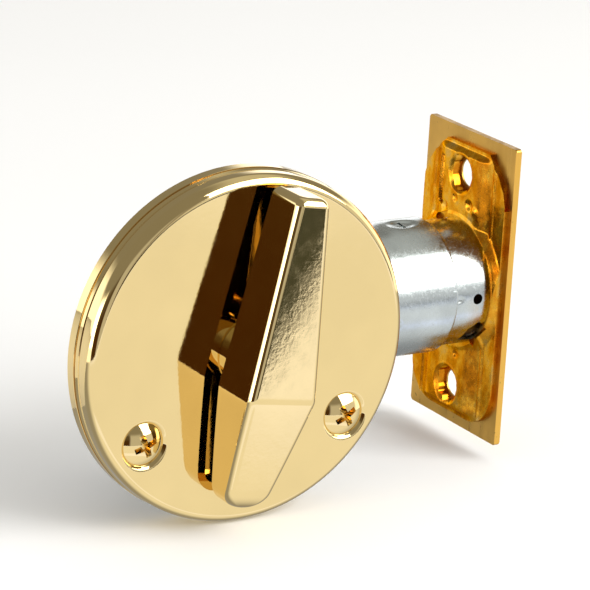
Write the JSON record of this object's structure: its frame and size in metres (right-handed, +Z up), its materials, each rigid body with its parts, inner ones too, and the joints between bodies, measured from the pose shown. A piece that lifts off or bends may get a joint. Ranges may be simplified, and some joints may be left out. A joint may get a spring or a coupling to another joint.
{
  "type": "thumbturn deadbolt",
  "caption": "One-sided tubular deadbolt: round rose with a tapered thumbturn, crank-driven bolt in a telescoping tube, and a square-corner faceplate.",
  "frame": {"origin": "middle of the faceplate's rear face, where it seats in the door's edge", "axes": "+X out of the door along the bolt, +Z up, the rose faces -Y"},
  "size_m": [0.0921, 0.0499, 0.0636],
  "materials": {
    "polished_brass": "mirror polished and lacquered",
    "face_brass": "brushed, satin",
    "passivated_steel": "yellow passivated, pressed",
    "zinc_plated_steel": "zinc plated, satin",
    "bare_steel": "oiled, as stamped",
    "spring_steel": "blued",
    "brass_plated_bolt": "brass plated",
    "nylon": "natural"
  },
  "bodies": {
    "front_section": {"front_sleeve": "zinc_plated_steel", "faceplate": "face_brass", "backing_plate": "passivated_steel"},
    "rear_section": {"rear_housing": "zinc_plated_steel", "hub_bush_room_side": "nylon", "hub_bush_far_side": "nylon", "tail_guide": "nylon", "rose": "polished_brass", "mounting_plate": "zinc_plated_steel", "screw_spacers": "zinc_plated_steel", "rose_screws": "polished_brass", "flat_washer": "zinc_plated_steel"},
    "knob": {"thumbturn": "polished_brass", "tailpiece": "bare_steel", "tailpiece_pin": "bare_steel", "retaining_ring": "spring_steel", "spring_washer": "spring_steel"},
    "crank": {"hub": "bare_steel", "crank_arm_room_side": "bare_steel", "crank_arm_far_side": "bare_steel", "crank_pin": "bare_steel"},
    "tail": {"tail_plate": "bare_steel"},
    "bolt_body": {"bolt": "brass_plated_bolt", "saw_pin": "bare_steel", "link_pin": "bare_steel"}
  },
  "joints": [
    {"name": "backset_slide", "type": "slide", "parent": "front_section", "child": "rear_section", "axis": [-1, 0, 0], "range_m": [0, 0.0095]},
    {"name": "thumb_turn", "type": "hinge", "parent": "rear_section", "child": "knob", "pos_m": [-0.0591, -0.015, 0], "axis": [0, -1, 0], "range_deg": [0, 90]},
    {"name": "hub_turn", "type": "hinge", "parent": "rear_section", "child": "crank", "pos_m": [-0.0591, 0, 0], "axis": [0, -1, 0], "range_deg": [0, 90]},
    {"name": "tail_slide", "type": "slide", "parent": "rear_section", "child": "tail", "axis": [1, 0, 0], "range_m": [0, 0.0254]},
    {"name": "bolt_slide", "type": "slide", "parent": "front_section", "child": "bolt_body", "axis": [1, 0, 0], "range_m": [0, 0.0254]}
  ],
  "couplings": [
    {"joint": "hub_turn", "follows": "thumb_turn", "ratio": 1},
    {"joint": "tail_slide", "follows": "thumb_turn", "m_per_rad": 0.01617},
    {"joint": "bolt_slide", "follows": "thumb_turn", "m_per_rad": 0.01617}
  ]
}
